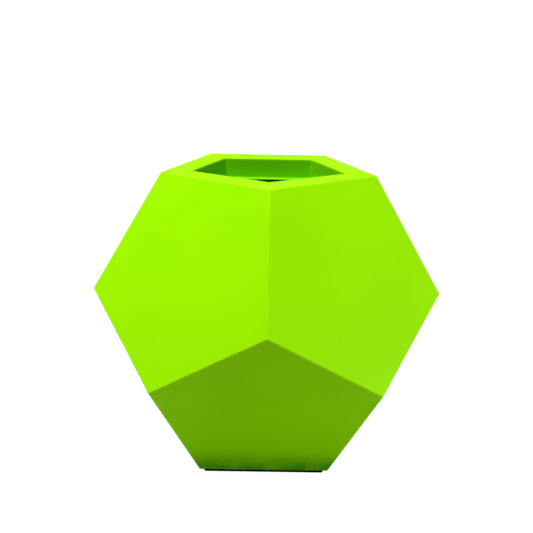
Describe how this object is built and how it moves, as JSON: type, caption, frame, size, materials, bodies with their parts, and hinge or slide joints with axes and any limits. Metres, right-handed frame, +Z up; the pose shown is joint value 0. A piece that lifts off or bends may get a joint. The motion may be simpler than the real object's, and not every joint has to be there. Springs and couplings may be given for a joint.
{
  "type": "faceted planter",
  "caption": "Twelve-faced hollow planter with a wide flat rim, a shallow five-sided well, a lift-out liner and a drain plug.",
  "frame": {"origin": "on the floor, under the middle of the base", "axes": "+Z up; -Y towards the front, where the rim has a corner and the base has a flat side; +X to the right"},
  "size_m": [0.601, 0.6316, 0.523],
  "materials": {
    "shell_plastic": "satin lime green",
    "liner_plastic": "fine-textured black",
    "plug_plastic": "smooth black",
    "seal_rubber": "matt black",
    "strip_rubber": "matt black",
    "screw_steel": "plated"
  },
  "bodies": {
    "shell": {"shell": "shell_plastic", "glide_strip_1": "strip_rubber", "glide_strip_2": "strip_rubber", "glide_strip_3": "strip_rubber", "glide_strip_4": "strip_rubber", "glide_strip_5": "strip_rubber", "glide_screws": "screw_steel"},
    "liner": {"liner": "liner_plastic"},
    "drain_plug": {"drain_plug": "plug_plastic", "plug_seal": "seal_rubber"}
  },
  "joints": [
    {"name": "liner_lift", "type": "slide", "parent": "shell", "child": "liner", "axis": [0, 0, 1], "range_m": [0, 0.38]},
    {"name": "plug_lift", "type": "slide", "parent": "shell", "child": "drain_plug", "axis": [0, 0, 1], "range_m": [0, 0.03]}
  ]
}
